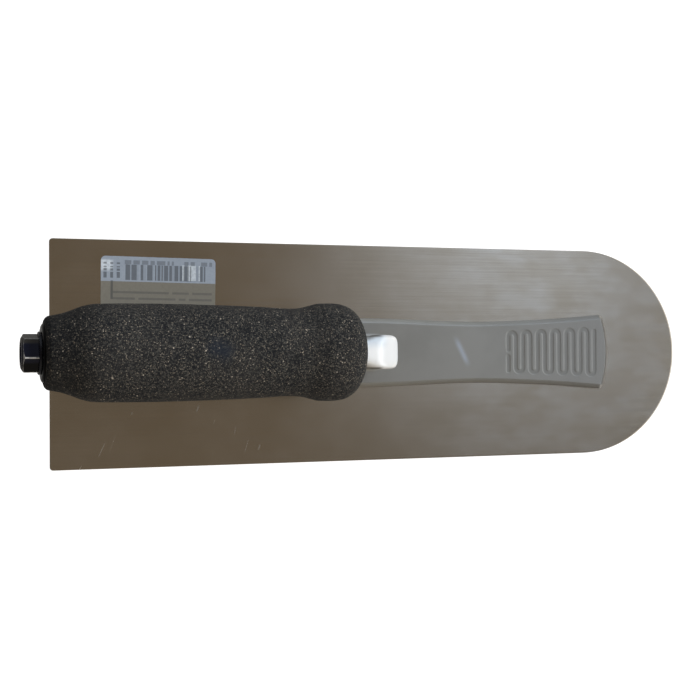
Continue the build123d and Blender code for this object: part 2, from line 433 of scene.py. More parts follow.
def value_socket(value):
    return ("NodeSocketFloat", value)


def vector_socket(value):
    return ("NodeSocketVector", value)


# ---- effects that several finishes share ----


def make_brushing():
    """Fine parallel polishing lines with slow clouding over them."""
    group, tree, given, out = new_group(
        "brushing",
        {"Stretch": vector_socket((1, 1, 1)), "Cloud scale": value_socket(20.0)},
        {"Lines": "NodeSocketFloat", "Clouds": "NodeSocketFloat"},
    )
    place = tree.place()
    stretched = tree.scaled(place, given["Stretch"])
    fine = tree.noise(stretched, 1.0, 3.0, 0.65)
    coarse = tree.noise(tree.scaled(stretched, (0.5, 0.22, 0.22)), 1.0, 2.0, 0.5)
    lines = tree.math("ADD", tree.product(fine, 0.6), tree.product(coarse, 0.4))
    clouds = tree.noise(place, given["Cloud scale"], 3.0, 0.55)
    tree.tree.links.new(lines, out["Lines"])
    tree.tree.links.new(clouds, out["Clouds"])
    return group


def make_mark():
    """One soft straight streak of given centre, direction and size: a rub mark, and on the foot a painted
    highlight.
    """
    group, tree, given, out = new_group(
        "streak_mask",
        {
            "Centre": vector_socket((0, 0, 0)),
            "Turn": value_socket(0.0),
            "Half length": value_socket(0.005),
            "Half width": value_socket(0.0005),
        },
        {"Mask": "NodeSocketFloat"},
    )
    places = {0: tree.place(), 1: given["Centre"]}
    offset = tree.put("ShaderNodeVectorMath", {"operation": "SUBTRACT"}, places).outputs[0]
    inputs = {"Vector": offset, "Angle": given["Turn"]}
    turned = tree.put("ShaderNodeVectorRotate", {"rotation_type": "Z_AXIS"}, inputs).outputs[0]
    parts = tree.parts(turned)
    along = tree.math("DIVIDE", tree.math("ABSOLUTE", parts[0]), given["Half length"])
    across = tree.math("DIVIDE", tree.math("ABSOLUTE", parts[1]), given["Half width"])
    mask = tree.product(tree.ramp(along, 1.0, 0.3), tree.ramp(across, 1.0, 0.0))
    tree.tree.links.new(mask, out["Mask"])
    return group


def make_grain():
    """Fine surface grain as a normal, for cast, moulded and blackened surfaces."""
    group, tree, given, out = new_group(
        "grain",
        {"Scale": value_socket(2000.0), "Height": value_socket(0.00002)},
        {"Value": "NodeSocketFloat", "Normal": "NodeSocketVector"},
    )
    value = tree.noise(tree.place(), given["Scale"], 2.0, 0.6)
    tree.tree.links.new(value, out["Value"])
    tree.tree.links.new(tree.bump(value, given["Height"]), out["Normal"])
    return group


def make_granules():
    """Cork granules of one size: where they show, and how light each one is."""
    group, tree, given, out = new_group(
        "granules",
        {"Scale": value_socket(1500.0), "Share": value_socket(0.5), "Size": value_socket(0.3)},
        {"Mask": "NodeSocketFloat", "Tone": "NodeSocketFloat"},
    )
    place = tree.place()
    inputs = {"Vector": place, "Scale": 1400.0, "Detail": 1.0}
    warp = tree.put("ShaderNodeTexNoise", None, inputs).outputs[1]
    inputs = {0: warp, 1: (0.0004, 0.0004, 0.0004), 2: place}
    bent = tree.put("ShaderNodeVectorMath", {"operation": "MULTIPLY_ADD"}, inputs).outputs[0]
    cells = tree.put("ShaderNodeTexVoronoi", None, {"Vector": bent, "Scale": given["Scale"]}).outputs
    shades = tree.put("ShaderNodeSeparateColor", None, {0: cells["Color"]}).outputs
    chosen = tree.math("LESS_THAN", shades[0], given["Share"])
    size = tree.product(given["Size"], tree.ramp(shades[1], 0.0, 1.0, 0.45, 1.15))
    edge = tree.math("SUBTRACT", size, cells["Distance"])
    mask = tree.product(chosen, tree.ramp(edge, 0.0, 0.12))
    tree.tree.links.new(mask, out["Mask"])
    tree.tree.links.new(shades[2], out["Tone"])
    return group


def make_axis_frame():
    """Station along a straight axis and distance from it, both in metres."""
    group, tree, given, out = new_group(
        "axis_frame",
        {"Middle": vector_socket((0, 0, 0)), "Along": vector_socket((1, 0, 0))},
        {"Station": "NodeSocketFloat", "Radius": "NodeSocketFloat"},
    )

    def vector(operation, a, b=(0, 0, 0)):
        return tree.put("ShaderNodeVectorMath", {"operation": operation}, {0: a, 1: b}).outputs

    offset = vector("SUBTRACT", tree.place(), given["Middle"])[0]
    across = vector("CROSS_PRODUCT", offset, given["Along"])[0]
    tree.tree.links.new(vector("DOT_PRODUCT", offset, given["Along"])[1], out["Station"])
    tree.tree.links.new(vector("LENGTH", across)[1], out["Radius"])
    return group


BRUSHING = make_brushing()
AXIS_FRAME = make_axis_frame()
STREAK_MASK = make_mark()
GRAIN = make_grain()
GRANULES = make_granules()


def along_handle(tree):
    """Station along the handle and distance from its axis, in metres."""
    inputs = {
        "Middle": HANDLE_PLACE.translation * MM,
        "Along": HANDLE_PLACE.to_3x3() @ Vector((1, 0, 0)),
    }
    return use_group(tree, AXIS_FRAME, inputs)


def add_marks(tree, marks):
    """The strongest of several streaks, rub marks and on the foot a painted highlight: (x, y, turn, half
    length, half width, strength) in mm.
    """
    masks = []
    for x, y, turn, half_length, half_width, strength in marks:
        inputs = {
            "Centre": (x * MM, y * MM, 0.0),
            "Turn": -math.radians(turn),
            "Half length": half_length * MM,
            "Half width": half_width * MM,
        }
        masks.append(tree.product(use_group(tree, STREAK_MASK, inputs)["Mask"], strength))
    return tree.most(*masks)


# =====================================================================================
# finishes
# =====================================================================================

BLADE_MARKS = [
    (-140.0, -50.6, 62, 2.6, 0.35, 0.5),
    (-130.6, -42.3, 66, 4.6, 0.35, 0.55),
    (-126.0, -39.5, 70, 5.5, 0.4, 0.22),
    (-117.7, -26.5, 80, 1.0, 0.5, 0.4),
    (-88.9, -24.9, 72, 2.4, 0.5, 0.45),
    (-81.6, -31.0, 75, 1.6, 0.4, 0.22),
    (-72.2, -35.3, 80, 2.6, 0.35, 0.3),
    (-67.0, -42.4, 74, 4.4, 0.35, 0.32),
    (-61.2, -43.1, 72, 2.0, 0.55, 0.4),
    (-82.2, -45.9, 78, 2.6, 0.35, 0.15),
]


# painted highlight: a bluish-white streak on the foot's top, standing in for a reflection
FOOT_PAINTED_HIGHLIGHT = [(35.6, 0.4, -64, 9.0, 2.1, 0.75)]


def make_blade_steel():
    """Satin stainless with a warm bronze tint, brushed along the blade."""
    material, tree, shader = new_material("blade_steel", {"Metallic": 1.0, "Specular IOR Level": 0.5})
    brushed = use_group(tree, BRUSHING, {"Stretch": (26.0, 3600.0, 400.0), "Cloud scale": 26.0})
    lines, clouds = brushed["Lines"], brushed["Clouds"]
    marks = add_marks(tree, BLADE_MARKS)
    bronze, straw = (0.60, 0.535, 0.44, 1), (0.66, 0.60, 0.515, 1)
    tint = tree.mix(tree.ramp(clouds, 0.35, 0.68), bronze, straw)
    place = tree.place()
    # pale blotches, more of them towards the toe: partly the blade's own blotches, partly a painted
    # reflection that lightens the toe end
    blotches = tree.noise(tree.scaled(place, (0.5, 1.0, 1.0)), 60.0, 3.0, 0.55)
    toward_toe = tree.ramp(tree.parts(place)[0], 0.0, 60 * MM, 0.15, 0.62)
    pale_patches_and_painted_reflection = tree.product(tree.ramp(blotches, 0.35, 0.72), toward_toe)
    tint = tree.mix(pale_patches_and_painted_reflection, tint, (0.80, 0.77, 0.72, 1))
    lined = tree.mix(tree.ramp(lines, 0.3, 0.7, 0.0, 0.19), tint, (0.42, 0.37, 0.30, 1))
    colour = tree.mix(marks, lined, (1.0, 1.0, 0.98, 1))
    satin = tree.ramp(lines, 0.3, 0.7, 0.15, 0.22)
    roughness = tree.math("ADD", satin, tree.product(marks, 0.3))
    normal = tree.bump(lines, 0.000006, 0.6)
    feed(tree, shader, Base_Color=colour, Roughness=roughness, Normal=normal)
    return material


def make_cast_aluminium():
    """Satin casting that turns bright and polished up the neck; the neck's white is partly a polished
    finish and partly a painted highlight. Painted shade on the groove floors and by the neck's shoulder,
    a painted bluish reflection on the neck's top and a painted highlight streak on the foot.
    """
    material, tree, shader = new_material("cast_aluminium", {"Metallic": 1.0, "Specular IOR Level": 0.5})
    along, across, height = tree.parts(tree.place())
    # the neck's white, mostly non-metallic finish: partly a polished finish, partly a painted highlight
    polish_and_highlight = tree.ramp(height, 33 * MM, 43 * MM)
    stretch = (1500.0, 60.0, 1500.0)
    brushed = use_group(tree, BRUSHING, {"Stretch": stretch, "Cloud scale": 40.0})
    grain = use_group(tree, GRAIN, {"Scale": 1800.0, "Height": 0.000012})["Value"]

    clouds = tree.ramp(brushed["Clouds"], 0.35, 0.65)
    satin = tree.mix(clouds, (0.495, 0.495, 0.47, 1), (0.545, 0.545, 0.52, 1))
    toward_toe = tree.ramp(along, 30 * MM, 110 * MM, 0.0, 0.8)
    satin = tree.mix(toward_toe, satin, (0.41, 0.41, 0.40, 1))
    # painted shade on the groove floors, just below the foot's top
    below_top = tree.ramp(height, (FOOT_TOP - 0.01) * MM, (FOOT_TOP - 0.07) * MM)
    above_floor = tree.ramp(height, (FOOT_TOP - 0.14) * MM, (FOOT_TOP - 0.11) * MM)
    groove_painted_shade = tree.product(below_top, above_floor, 0.3)
    satin = tree.mix(groove_painted_shade, satin, (0.28, 0.285, 0.275, 1))
    # painted highlight streak on the foot's top
    satin = tree.mix(add_marks(tree, FOOT_PAINTED_HIGHLIGHT), satin, (0.78, 0.85, 0.96, 1))

    lines = tree.ramp(brushed["Lines"], 0.3, 0.7, 0.0, 0.02)
    bright = tree.mix(lines, (0.97, 0.98, 0.98, 1), (0.78, 0.80, 0.82, 1))
    # painted reflection: a bluish tint on one half of the neck's top next to the grip
    painted_blue_reflection = tree.product(tree.ramp(across, 0.0, 5 * MM), tree.ramp(along, -12 * MM, -17 * MM))
    bright = tree.mix(painted_blue_reflection, bright, (0.72, 0.79, 0.85, 1))
    # painted shade: near-black on the neck's sides by its shoulder, next to the grip
    sides = tree.ramp(tree.math("ABSOLUTE", across), 6.0 * MM, 6.9 * MM)
    shoulder_painted_shade = tree.product(sides, tree.ramp(along, -14.5 * MM, -17.5 * MM), 0.85)
    bright = tree.mix(shoulder_painted_shade, bright, (0.05, 0.05, 0.055, 1))

    colour = tree.mix(polish_and_highlight, satin, bright)
    matt = tree.product(tree.ramp(grain, 0.3, 0.7, 0.36, 0.44), tree.math("SUBTRACT", 1.0, polish_and_highlight))
    roughness = tree.math("ADD", matt, tree.product(polish_and_highlight, 0.28))
    metallic = tree.math("SUBTRACT", 1.0, tree.product(polish_and_highlight, 0.68))
    normal = tree.bump(grain, 0.000012, tree.math("SUBTRACT", 1.0, polish_and_highlight))
    feed(tree, shader, Base_Color=colour, Roughness=roughness, Metallic=metallic, Normal=normal)
    return material


WORN_SPOT = {
    "Centre": (-85.6 * MM, 1.0 * MM, 0.0),
    "Turn": math.radians(25),
    "Half length": 7.0 * MM,
    "Half width": 6.4 * MM,
}


def make_cork_rubber():
    """Black rubber packed with fine cork granules, slightly open at the surface."""
    material, tree, shader = new_material("cork_rubber", {"Specular IOR Level": 0.2})
    dust = use_group(tree, GRANULES, {"Scale": 2300.0, "Share": 0.7, "Size": 0.42})
    fine = use_group(tree, GRANULES, {"Scale": 1500.0, "Share": 0.5, "Size": 0.34})
    large = use_group(tree, GRANULES, {"Scale": 1000.0, "Share": 0.18, "Size": 0.3})
    place = tree.place()
    clouds = tree.ramp(tree.noise(place, 55.0, 2.0), 0.3, 0.7)
    speckled = tree.mix(clouds, (0.009, 0.010, 0.012, 1), (0.018, 0.018, 0.019, 1))
    mottle = tree.ramp(tree.noise(place, 1250.0, 3.0, 0.7), 0.47, 0.66)
    speckled = tree.mix(mottle, speckled, (0.062, 0.060, 0.054, 1))
    layers = [
        (dust, 1.0, (0.03, 0.028, 0.024, 1), (0.18, 0.158, 0.128, 1)),
        (fine, 0.9, (0.05, 0.043, 0.034, 1), (0.32, 0.275, 0.215, 1)),
        (large, 0.85, (0.12, 0.095, 0.07, 1), (0.58, 0.51, 0.42, 1)),
    ]
    for granules, strength, dark, light in layers:
        tone = tree.mix(granules["Tone"], dark, light)
        speckled = tree.mix(tree.product(granules["Mask"], strength), speckled, tone)
    rubbed = use_group(tree, STREAK_MASK, WORN_SPOT)["Mask"]
    speckled = tree.mix(tree.product(rubbed, 0.7), speckled, (0.016, 0.021, 0.031, 1))
    # painted shade: the grip darkens towards its rear end
    rear_painted_shade = tree.ramp(along_handle(tree)["Station"], -64 * MM, -34 * MM, 0.45, 1.0)
    shade = tree.put("ShaderNodeCombineXYZ", None, {0: rear_painted_shade, 1: rear_painted_shade, 2: rear_painted_shade}).outputs[0]
    colour = tree.mix(1.0, speckled, shade, "MULTIPLY")
    flecks = tree.most(fine["Mask"], large["Mask"])
    pits = tree.noise(place, 1700.0, 2.0, 0.6)
    height = tree.math("ADD", pits, tree.product(flecks, 0.35))
    normal = tree.bump(height, 0.00018, 0.8)
    roughness = tree.ramp(pits, 0.3, 0.7, 0.7, 0.9)
    feed(tree, shader, Base_Color=colour, Roughness=roughness, Normal=normal)
    return material


def make_gloss_plastic():
    """Glossy black moulded plastic of the handle's inner tube."""
    material, tree, shader = new_material("core_plastic", {"Specular IOR Level": 0.25, "IOR": 1.22})
    grain = use_group(tree, GRAIN, {"Scale": 900.0, "Height": 0.00001})
    colour = tree.mix(grain["Value"], (0.002, 0.002, 0.002, 1), (0.005, 0.005, 0.005, 1))
    roughness = tree.ramp(grain["Value"], 0.3, 0.7, 0.12, 0.2)
    feed(tree, shader, Base_Color=colour, Roughness=roughness, Normal=grain["Normal"])
    return material


def make_black_steel():
    """Blackened steel of the washer and the stud."""
    material, tree, shader = new_material("black_steel", {"Specular IOR Level": 0.25})
    grain = use_group(tree, GRAIN, {"Scale": 1600.0, "Height": 0.00002})
    colour = tree.mix(grain["Value"], (0.002, 0.0025, 0.005, 1), (0.005, 0.0055, 0.010, 1))
    roughness = tree.ramp(grain["Value"], 0.3, 0.7, 0.2, 0.3)
    feed(tree, shader, Base_Color=colour, Roughness=roughness, Normal=grain["Normal"])
    return material


def make_nut_steel():
    """Blackened steel, rubbed bare along the hexagon's corners and its chamfer, the rubbing also a
    painted edge highlight, stronger on the low side; painted light on the upper side and painted shade on
    the lower side.
    """
    material, tree, shader = new_material("nut_steel", {"Specular IOR Level": 0.12})
    grain = use_group(tree, GRAIN, {"Scale": 1600.0, "Height": 0.00002})
    across = tree.parts(tree.place())[1]
    at = along_handle(tree)
    station, radius = at["Station"], at["Radius"]

    corners = tree.ramp(radius, 7.28 * MM, 7.40 * MM)
    cone = tree.product(tree.math("SUBTRACT", radius, NUT_FACE * MM), CHAMFER_SLOPE)
    behind = tree.math("SUBTRACT", tree.math("SUBTRACT", station, NUT_REAR * MM), cone)
    chamfer = tree.ramp(tree.math("ABSOLUTE", behind), 0.2 * MM, 0.05 * MM)
    chamfer = tree.product(chamfer, tree.ramp(radius, 6.4 * MM, 6.6 * MM), 0.45)
    uneven = tree.ramp(tree.noise(tree.place(), 500.0, 3.0), 0.35, 0.6, 0.35, 1.0)
    # painted highlight: the rubbed edges are lighter on the low side
    low_side_painted_highlight = tree.ramp(across, -2.0 * MM, 3.0 * MM, 1.0, 0.45)
    edge_wear_and_highlight = tree.product(tree.most(corners, chamfer), uneven, low_side_painted_highlight)

    black = tree.mix(grain["Value"], (0.005, 0.006, 0.012, 1), (0.009, 0.010, 0.021, 1))
    # painted light on the nut's upper side
    upper_side_painted_light = tree.ramp(across, 3.0 * MM, 4.2 * MM)
    black = tree.mix(upper_side_painted_light, black, (0.030, 0.028, 0.025, 1))
    # painted shade on the nut's lower side
    lower_side_painted_shade = tree.ramp(across, -3.0 * MM, -4.2 * MM)
    black = tree.mix(lower_side_painted_shade, black, (0.001, 0.001, 0.001, 1))
    colour = tree.mix(edge_wear_and_highlight, black, (0.60, 0.59, 0.57, 1))
    satin = tree.ramp(grain["Value"], 0.3, 0.7, 0.16, 0.26)
    roughness = tree.math("ADD", satin, tree.product(edge_wear_and_highlight, 0.15))
    feed(tree, shader, Base_Color=colour, Roughness=roughness, Normal=grain["Normal"])
    return material


def make_plain_steel():
    """Plain turned steel of the concealed studs."""
    material, tree, shader = new_material("stud_steel", {"Metallic": 1.0})
    grain = use_group(tree, GRAIN, {"Scale": 1200.0, "Height": 0.00002})
    colour = tree.mix(grain["Value"], (0.45, 0.45, 0.46, 1), (0.62, 0.62, 0.62, 1))
    feed(tree, shader, Base_Color=colour, Normal=grain["Normal"])
    shader.inputs["Roughness"].default_value = 0.4
    return material


def stripes(tree, along, count, share, seed):
    """Bars of uneven width and spacing across 0..1."""
    cell = tree.math("ADD", tree.math("FLOOR", tree.product(along, count)), seed)
    settings = {"noise_dimensions": "1D"}
    value = tree.put("ShaderNodeTexWhiteNoise", settings, {"W": cell}).outputs[0]
    return tree.math("LESS_THAN", value, share)


def window(tree, value, low, high):
    """1 between low and high, else 0."""
    return tree.product(tree.math("GREATER_THAN", value, low), tree.math("LESS_THAN", value, high))


def label_shine(tree, u, v, mottle):
    """Where the sticker's gloss catches the light: its upper left corner and some of the bars."""
    corner = tree.product(tree.ramp(u, 0.12, 0.07), tree.ramp(v, 0.68, 0.78), tree.ramp(v, 0.95, 0.9))
    streaks = tree.product(window(tree, u, 0.705, 0.86), stripes(tree, u, 40.0, 0.55, 21.0))
    streaks = tree.product(streaks, window(tree, v, 0.56, 0.86))
    return tree.product(tree.most(corner, streaks), tree.ramp(mottle, 0.3, 0.6, 0.5, 0.9))


def label_print(tree, u, v):
    """The sticker's printed marks: a row of bars, ticks over them, side columns, a rule and dashes."""
    printed = window(tree, u, 0.21, 0.91)
    faint = tree.product(printed, stripes(tree, u, 31.0, 0.7, 5.0), 0.2)
    bars = tree.most(tree.product(stripes(tree, u, 88.0, 0.52, 3.0), printed), faint)
    bars = tree.product(bars, window(tree, v, 0.545, 0.845))
    ticks = tree.product(stripes(tree, u, 54.0, 0.6, 40.0), window(tree, u, 0.2, 0.97))
    ticks = tree.product(ticks, window(tree, v, 0.85, 0.93), 0.7)
    columns = [window(tree, u, low, high) for low, high in ((0.022, 0.05), (0.135, 0.163), (0.08, 0.105))]
    side = tree.product(stripes(tree, v, 46.0, 0.7, 70.0), window(tree, v, 0.58, 0.88))
    side = tree.product(side, tree.most(*columns))
    rule = tree.product(window(tree, u, 0.084, 0.104), window(tree, v, 0.17, 0.53), 0.9)
    upper = tree.product(window(tree, v, 0.285, 0.328), stripes(tree, u, 34.0, 0.82, 17.0))
    lower = tree.product(window(tree, v, 0.165, 0.207), stripes(tree, u, 34.0, 0.88, 52.0))
    dashes = tree.product(tree.most(upper, lower), window(tree, u, 0.1, 0.97), 0.62)
    return tree.product(tree.most(bars, ticks, side, rule, dashes), 0.66)


def make_label_paper():
    """Sticker: pale band with plain bars, grey lower field with rows of dashes."""
    material, tree, shader = new_material("label_paper", {"Specular IOR Level": 0.4})
    u, v, _ = tree.parts(tree.put("ShaderNodeUVMap", {"uv_map": "sheet"}).outputs[0])
    mottle = tree.noise(tree.place(), 900.0, 3.0, 0.6)
    band = tree.mix(mottle, (0.26, 0.298, 0.362, 1), (0.35, 0.397, 0.462, 1))
    field = tree.mix(mottle, (0.165, 0.155, 0.13, 1), (0.222, 0.212, 0.182, 1))
    band = tree.mix(label_shine(tree, u, v, mottle), band, (0.66, 0.72, 0.78, 1))
    paper = tree.mix(tree.math("GREATER_THAN", v, 0.515), field, band)
    colour = tree.mix(label_print(tree, u, v), paper, (0.05, 0.055, 0.062, 1))
    roughness = tree.ramp(mottle, 0.3, 0.7, 0.38, 0.55)
    feed(tree, shader, Base_Color=colour, Roughness=roughness, Normal=tree.bump(mottle, 0.00001, 0.5))
    return material


# =====================================================================================
# pieces
# =====================================================================================


def planar_map(piece, name, low, high):
    """A map of the piece seen from above, 0..1 between two corners in millimetres."""
    size = high - low
    layer = piece.data.uv_layers.new(name=name)
    for corner in piece.data.loops:
        p = piece.data.vertices[corner.vertex_index].co / MM - low
        layer.data[corner.index].uv = (p.x / size.x, p.y / size.y)


def sheet_solid(name, loop, z_low, z_high, edge):
    """Flat sheet with softened edges over a closed anticlockwise loop."""
    corner = 0.3 * edge
    rim = 6 * edge
    levels = [
        (rim, z_low), (edge, z_low), (corner, z_low + corner), (0.0, z_low + edge),
        (0.0, z_high - edge), (corner, z_high - corner), (edge, z_high), (rim, z_high),
    ]
    rings = []
    for inset, z in levels:
        rings.append([(p.x, p.y, z) for p in inset_loop(loop, inset)])
    points, faces = stack_rings(rings)
    fill = fill_between(rings[-1], [])
    top = (len(rings) - 1) * len(loop)
    faces.extend(tuple(top + k for k in face) for face in fill)
    faces.extend(tuple(face[::-1]) for face in fill)
    return new_piece(name, points, faces)


def make_blade():
    """Thin sheet with a square heel and a half-round toe."""
    half = (BLADE_HIGH.y - BLADE_LOW.y) / 2
    toe_x = BLADE_HIGH.x - half
    side_steps = 60
    arc_steps = 120
    side = [BLADE_LOW.x + (toe_x - BLADE_LOW.x) * i / side_steps for i in range(1, side_steps)]
    path = [(BLADE_LOW.x, half), (BLADE_LOW.x, -half)]
    path += [(x, -half) for x in side]
    for i in range(arc_steps + 1):
        angle = -math.pi / 2 + math.pi * i / arc_steps
        path.append((toe_x + half * math.cos(angle), half * math.sin(angle)))
    path += [(x, half) for x in reversed(side)]
    loop = round_corners(path, HEEL_CORNER, 8)
    return sheet_solid("blade_sheet", loop, BLADE_LOW.z, BLADE_HIGH.z, 0.12)


def make_label():
    """Thin sticker with rounded corners, turned about its middle."""
    path = [
        (LABEL_LOW.x, LABEL_LOW.y), (LABEL_HIGH.x, LABEL_LOW.y),
        (LABEL_HIGH.x, LABEL_HIGH.y), (LABEL_LOW.x, LABEL_HIGH.y),
    ]
    loop = round_corners(path, LABEL_CORNER, 10)
    piece = sheet_solid("label_sticker", loop, LABEL_LOW.z, LABEL_HIGH.z, 0.02)
    planar_map(piece, "sheet", LABEL_LOW, LABEL_HIGH)
    middle = Matrix.Translation((LABEL_LOW + LABEL_HIGH) / 2 * MM)
    piece.data.transform(middle @ Matrix.Rotation(LABEL_TURN, 4, "Z") @ middle.inverted())
    return piece


def foot_loop():
    """Plan of the foot, anticlockwise, with its end corners rounded."""
    front = FOOT_HIGH.x - FOOT_SAGITTA
    rear = FOOT_LOW.x + FOOT_SAGITTA
    knots = []
    for end in (rear, front):
        waist = (POST_BASE_X + end) * 0.42
        quarter = (waist + end) / 2
        quarter_half = FOOT_WAIST_HALF + (FOOT_END_HALF - FOOT_WAIST_HALF) * 0.3
        knots.append([(waist, FOOT_WAIST_HALF), (quarter, quarter_half), (end, FOOT_END_HALF)])
    side = smooth_curve(knots[0][::-1] + [(POST_BASE_X, FOOT_CENTRE_HALF)] + knots[1], 22)
    end_steps = 24
    path = [(x, -y) for x, y in side]
    for i in range(1, end_steps):
        y = FOOT_END_HALF * (2 * i / end_steps - 1)
        path.append((FOOT_HIGH.x - FOOT_SAGITTA * (y / FOOT_END_HALF) ** 2, y))
    path.extend(side[::-1])
    for i in range(1, end_steps):
        y = FOOT_END_HALF * (1 - 2 * i / end_steps)
        path.append((FOOT_LOW.x + FOOT_SAGITTA * (y / FOOT_END_HALF) ** 2, y))
    return round_corners(path, FOOT_CORNER, 10)


def serpentine_lines():
    """Centre lines of the groove, run 1 at x = 0: the long winding one and the short stub."""
    bend = GROOVE_PITCH / 2
    step = (GROOVE_REACHES[1] - GROOVE_REACHES[0]) / (GROOVE_RUNS - 1)
    inner = bend + GROOVE_WIDTH / 2
    winding = [Vector((0.0, GROOVE_WIDTH / 2))]
    bend_steps = 12
    for run in range(GROOVE_RUNS - 1):
        side = 1 if run % 2 == 0 else -1
        level = side * (GROOVE_REACHES[0] + step * (run + 0.5) - inner)
        centre_x = (run + 0.5) * GROOVE_PITCH
        for k in range(bend_steps + 1):
            angle = math.pi * (1 - k / bend_steps)
            y = level + side * bend * math.sin(angle)
            winding.append(Vector((centre_x + bend * math.cos(angle), y)))
    winding.append(Vector(((GROOVE_RUNS - 1) * GROOVE_PITCH, GROOVE_REACHES[1] - GROOVE_WIDTH)))
    stub_low = -(GROOVE_REACHES[0] - inner) - bend * 0.8
    stub = [Vector((0.0, -GROOVE_BREAK - GROOVE_WIDTH / 2)), Vector((0.0, stub_low))]
    return [even_steps(winding, 0.8), even_steps(stub, 0.8)]


def even_steps(line, step):
    """The line with extra points on its long straight runs."""
    result = [line[0]]
    for i in range(1, len(line)):
        length = (line[i] - line[i - 1]).length
        pieces = max(1, round(length / step))
        for k in range(1, pieces + 1):
            result.append(line[i - 1].lerp(line[i], k / pieces))
    return result


def ribbon_loop(line, distance):
    """Closed loop at a distance round a centre line, with half-round ends."""
    tangents = []
    for i in range(len(line)):
        ahead = line[min(i + 1, len(line) - 1)] - line[max(i - 1, 0)]
        tangents.append(ahead.normalized())
    cap_steps = 12
    right = [p + Vector((t.y, -t.x)) * distance for p, t in zip(line, tangents)]
    left = [p + Vector((-t.y, t.x)) * distance for p, t in zip(line, tangents)]
    loop = list(right)
    for centre, tangent in ((line[-1], tangents[-1]), (line[0], -tangents[0])):
        for k in range(1, cap_steps):
            a = math.pi * k / cap_steps
            side = Vector((tangent.y, -tangent.x))
            loop.append(centre + (side * math.cos(a) + tangent * math.sin(a)) * distance)
        if centre is line[-1]:
            loop.extend(left[::-1])
    return loop


def groove_levels():
    """(distance from the centre line, depth) from the flat top to the groove's floor."""
    half = GROOVE_WIDTH / 2
    levels = [(half + GROOVE_LIP + FLAT_RIM, 0.0)]
    wall_steps = 9
    for k in range(wall_steps + 1):
        t = k / wall_steps
        distance = half + GROOVE_LIP - (GROOVE_LIP + GROOVE_ROOT) * t
        levels.append((distance, GROOVE_DEPTH * t * t * (3 - 2 * t)))
    return levels


def neck_width(distance):
    """Width of the neck at a distance from the narrow end of its shoulder."""
    share = min(1.0, distance / (SHOULDER_LENGTH + NECK_TAPER))
    return NECK_WIDTH + (POST_WIDTH - NECK_WIDTH) * math.sin(share * math.pi / 2)


def post_rings(steps):
    """Sections of the casting from the foot's top, up the post, round the bend and into the tang."""
    rings = []
    base_power, post_power, neck_power, tang_power = 3.4, 3.8, 4.4, 4.0
    flare_steps, rise_steps, bend_steps, shoulder_steps = 8, 10, 15, 12
    tapered_share = 0.3

    def section(x, z, lean, depth, width, power):
        a = math.radians(lean)
        ring = []
        for along, across in superellipse(depth / 2, width / 2, power, steps):
            ring.append((x + along * math.cos(a), across, z + along * math.sin(a)))
        rings.append(ring)

    def base_section(x, z, grow):
        section(x, z, 0, POST_BASE_DEPTH + 2 * grow, POST_BASE_WIDTH + 2 * grow, base_power)

    base_section(POST_BASE_X, FOOT_TOP, POST_FLARE + FLAT_RIM)
    for k in range(flare_steps + 1):
        t = k / flare_steps
        a = math.radians(90 * t)
        height = FOOT_TOP + POST_FLARE * (1 - math.cos(a))
        base_section(POST_BASE_X - POST_SET_BACK * t, height, POST_FLARE * (1 - math.sin(a)))

    bend_centre_x = POST_TOP_X - BEND_RADIUS
    bend_end_x = bend_centre_x + BEND_RADIUS * math.sin(HANDLE_TILT)
    bend_end_z = HANDLE_MIDDLE.z - (bend_end_x - HANDLE_MIDDLE.x) * math.tan(HANDLE_TILT)
    bend_centre_z = bend_end_z - BEND_RADIUS * math.cos(HANDLE_TILT)
    low_x = POST_BASE_X - POST_SET_BACK
    low_z = FOOT_TOP + POST_FLARE
    for k in range(1, rise_steps + 1):
        t = k / rise_steps
        x = low_x + (POST_TOP_X - low_x) * (t * t * (3 - 2 * t))
        z = low_z + (bend_centre_z - low_z) * t
        lean = 2.5 * math.sin(math.pi * t)
        narrow = min(1.0, 1.4 * t)
        depth = POST_BASE_DEPTH + (POST_DEPTH - POST_BASE_DEPTH) * narrow
        width = POST_BASE_WIDTH + (POST_WIDTH - POST_BASE_WIDTH) * narrow
        section(x, z, lean, depth, width, post_power)

    end_lean = 90 - math.degrees(HANDLE_TILT)
    for k in range(1, bend_steps):
        t = k / bend_steps
        a = math.radians(end_lean * t)
        x = bend_centre_x + BEND_RADIUS * math.cos(a)
        z = bend_centre_z + BEND_RADIUS * math.sin(a)
        width = neck_width(SHOULDER_LENGTH + NECK_TAPER * (1 - t) / tapered_share)
        section(x, z, end_lean * t, POST_DEPTH, width, neck_power)

    def handle_section(s, depth, width, power):
        p = HANDLE_PLACE @ Vector((s, 0, 0))
        section(p.x, p.z, end_lean, depth, width, power)

    for k in range(shoulder_steps + 1):
        distance = SHOULDER_LENGTH * (1 - k / shoulder_steps)
        handle_section(SHOULDER_S + distance, POST_DEPTH, neck_width(distance), neck_power)
    handle_section(GRIP_FRONT + 0.7, POST_DEPTH, NECK_WIDTH, tang_power)
    for s in (GRIP_FRONT + 0.2, CORE_FRONT, TANG_END + 1):
        handle_section(s, NECK_HEIGHT, NECK_WIDTH, tang_power)
    handle_section(TANG_END, NECK_HEIGHT * 0.9, NECK_WIDTH * 0.9, tang_power)
    return rings


